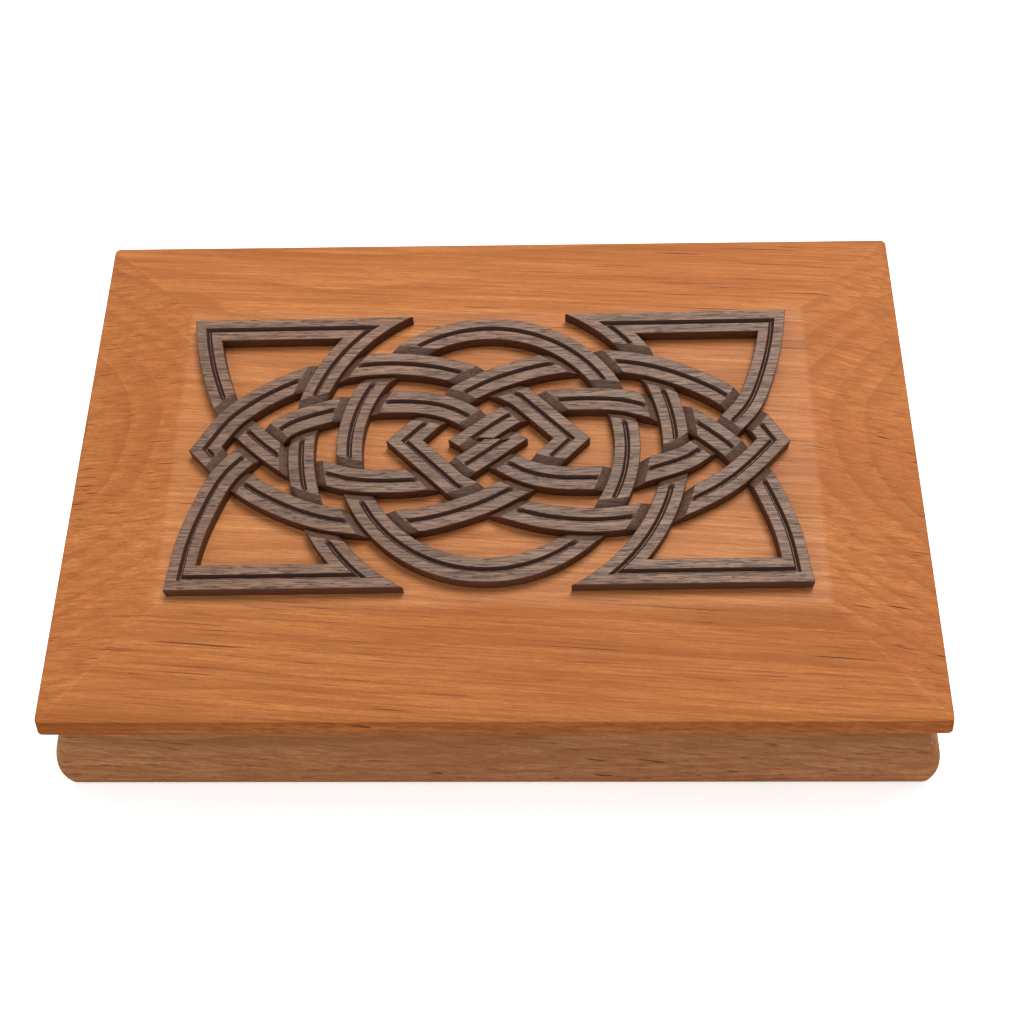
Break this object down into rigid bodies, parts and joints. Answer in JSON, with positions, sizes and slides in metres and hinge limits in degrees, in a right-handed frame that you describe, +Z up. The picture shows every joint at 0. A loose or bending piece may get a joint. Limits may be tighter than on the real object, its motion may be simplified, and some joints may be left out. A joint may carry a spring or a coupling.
{
  "type": "puzzle box",
  "caption": "Wooden puzzle box with a bevelled swivel lid, an interlaced ornament on top, flared sides and a hidden sliding lock worked from below.",
  "frame": {"origin": "centre of the base's footprint, on the surface it stands on", "axes": "+X along the box to its right, +Y to its back, +Z up"},
  "size_m": [0.223, 0.147, 0.0482],
  "materials": {
    "lid_wood": "satin oiled alder or cherry, straight grain with fine dark flecks",
    "base_wood": "satin oiled alder or cherry, straight grain",
    "walnut": "satin oiled walnut, fine open pores",
    "maple": "waxed hard maple, closed grain",
    "birch_ply": "sanded birch, sealed",
    "brass": "turned brass, satin",
    "steel": "turned and ground steel",
    "zinc_screw": "zinc-plated screw head",
    "magnet": "nickel-plated disc",
    "felt": "dense wool felt, dark brown"
  },
  "bodies": {
    "base": {"base_body": "base_wood", "bottom_plate": "birch_ply", "plate_screw_1": "zinc_screw", "plate_screw_2": "zinc_screw", "plate_screw_3": "zinc_screw", "plate_screw_4": "zinc_screw", "plate_screw_5": "zinc_screw", "plate_screw_6": "zinc_screw", "pivot_bushing": "brass", "pivot_thrust_washer": "brass", "pivot_head_washer": "steel", "lid_stop_pin": "steel", "lock_bolt_sleeve": "brass", "base_magnet": "magnet", "tray_felt": "felt"},
    "lid": {"lid_panel": "lid_wood", "knot_overlay": "walnut", "pivot_bolt": "steel", "pivot_insert": "brass", "lock_strike": "brass", "lid_magnet": "magnet"},
    "lock_bar_body": {"lock_bar": "maple", "lock_bar_knob": "brass"},
    "lock_bolt_body": {"lock_bolt": "steel", "lock_bolt_cross_pin": "steel"},
    "shutter_body": {"shutter_slat": "maple", "shutter_lug": "brass"},
    "tilt_pin_body": {"tilt_pin": "steel"}
  },
  "joints": [
    {"name": "lid_swivel", "type": "hinge", "parent": "base", "child": "lid", "pos_m": [-0.091, 0.053, 0.032], "axis": [0, 0, 1], "range_deg": [0, 115]},
    {"name": "lock_bar_slide", "type": "slide", "parent": "base", "child": "lock_bar_body", "axis": [0, 1, 0], "range_m": [0, 0.012]},
    {"name": "lock_bolt_lift", "type": "slide", "parent": "base", "child": "lock_bolt_body", "axis": [0, 0, 1], "range_m": [0, 0.006]},
    {"name": "shutter_slide", "type": "slide", "parent": "base", "child": "shutter_body", "axis": [1, 0, 0], "range_m": [0, 0.022]},
    {"name": "tilt_pin_slide", "type": "slide", "parent": "base", "child": "tilt_pin_body", "axis": [0, 1, 0], "range_m": [0, 0.007]}
  ],
  "couplings": [
    {"joint": "lock_bolt_lift", "follows": "lock_bar_slide", "ratio": 0.5}
  ]
}
